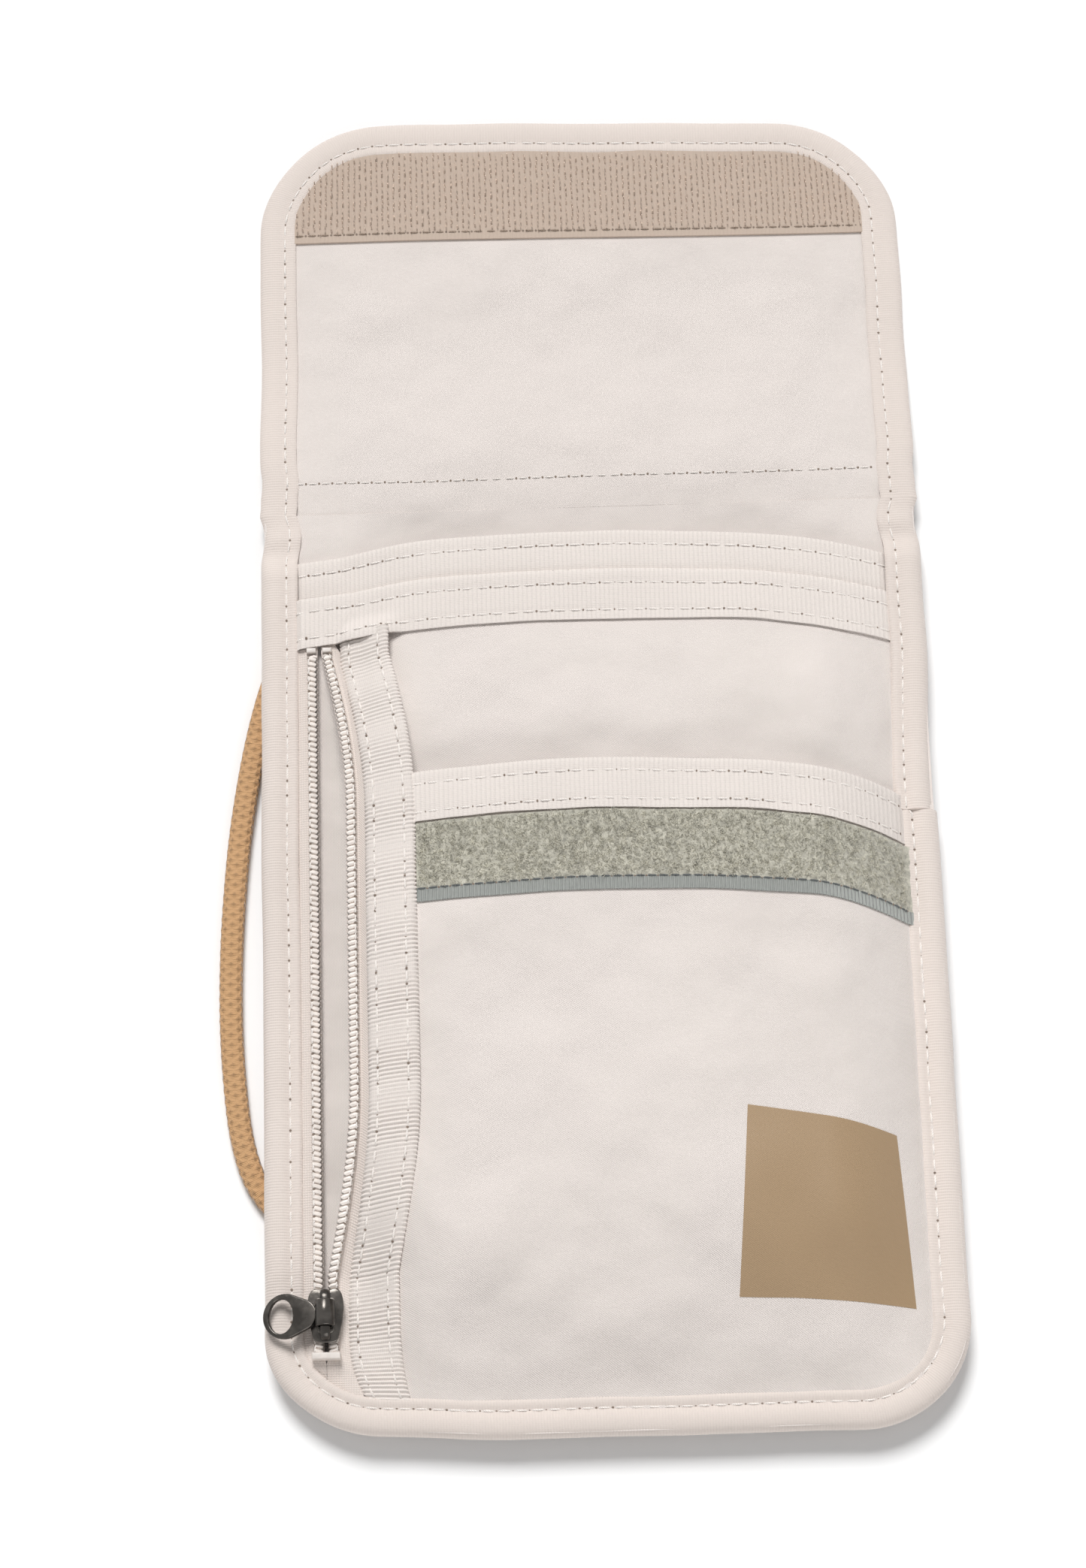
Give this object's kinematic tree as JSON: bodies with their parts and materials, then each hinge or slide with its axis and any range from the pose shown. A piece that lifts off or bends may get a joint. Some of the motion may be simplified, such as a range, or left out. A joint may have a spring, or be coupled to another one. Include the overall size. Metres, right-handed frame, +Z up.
{
  "type": "neck pouch wallet",
  "caption": "Flat cloth travel pouch worn on a neck cord, with an open fold-over flap, a side zip pocket, a rear pocket and a front pocket.",
  "frame": {"origin": "under the middle of the open pouch, on the surface it lies on", "axes": "+Y from the body's bottom edge to the flap's free edge, +Z up from the surface, out of the pockets' fronts"},
  "size_m": [0.1596, 0.316, 0.0229],
  "materials": {
    "shell_cloth": "fine diagonal weave, soft satin sheen",
    "lining_cloth": "fine plain weave",
    "binding_cloth": "fine crosswise ribs, folded over the edge",
    "ribbed_tape": "grosgrain with crosswise ribs and two rows of stitches",
    "hook_pile": "rows of tiny hooks on a woven tape",
    "loop_pile": "soft loops with woven edges",
    "zip_cloth": "plain woven zip tape",
    "zip_coil": "nylon coil",
    "dark_metal": "gunmetal plating with polished edges",
    "shielding_foil": "metallised cloth between the shell and the lining",
    "cord_braid": "flat braided cord"
  },
  "bodies": {
    "pouch": {"back_shell": "shell_cloth", "rfid_liner": "shielding_foil", "back_lining": "lining_cloth", "rear_pocket_panel": "shell_cloth", "rear_pocket_tape": "ribbed_tape", "zip_pocket_lining": "lining_cloth", "zip_pocket_panel": "shell_cloth", "zip_pocket_tape": "ribbed_tape", "front_pocket_panel": "shell_cloth", "front_pocket_tape": "ribbed_tape", "loop_strip": "loop_pile", "side_tape": "ribbed_tape", "zip_tape_left": "zip_cloth", "zip_tape_right": "zip_cloth", "zip_coil_left": "zip_coil", "zip_coil_right": "zip_coil", "zip_bottom_stop": "zip_coil", "zip_top_stops": "zip_coil", "body_binding": "binding_cloth", "cord_anchor_left": "binding_cloth", "cord_anchor_right": "binding_cloth", "neck_cord_left": "cord_braid", "neck_cord_coil": "cord_braid", "neck_cord_right": "cord_braid"},
    "spine": {"spine_shell": "shell_cloth", "spine_lining": "lining_cloth", "spine_binding": "binding_cloth"},
    "flap": {"flap_shell": "shell_cloth", "flap_lining": "lining_cloth", "flap_binding": "binding_cloth", "hook_strip": "hook_pile"},
    "slider": {"zip_slider": "dark_metal"},
    "puller": {"zip_puller": "dark_metal"}
  },
  "joints": [
    {"name": "spine_fold", "type": "hinge", "parent": "pouch", "child": "spine", "pos_m": [0, 0.048, 0.0058], "axis": [1, 0, 0], "range_deg": [0, 90]},
    {"name": "flap_fold", "type": "hinge", "parent": "spine", "child": "flap", "pos_m": [0, 0.063, 0.0058], "axis": [1, 0, 0], "range_deg": [0, 90]},
    {"name": "zip_slide", "type": "slide", "parent": "pouch", "child": "slider", "axis": [0, 1, 0], "range_m": [0, 0.142], "deforming": ["zip_coil_right", "zip_tape_right"]},
    {"name": "puller_swing", "type": "hinge", "parent": "slider", "child": "puller", "pos_m": [-0.0615, -0.131, 0.0131], "axis": [0, 1, 0], "range_deg": [0, 168]}
  ],
  "couplings": [
    {"joint": "flap_fold", "follows": "spine_fold", "ratio": 1}
  ]
}
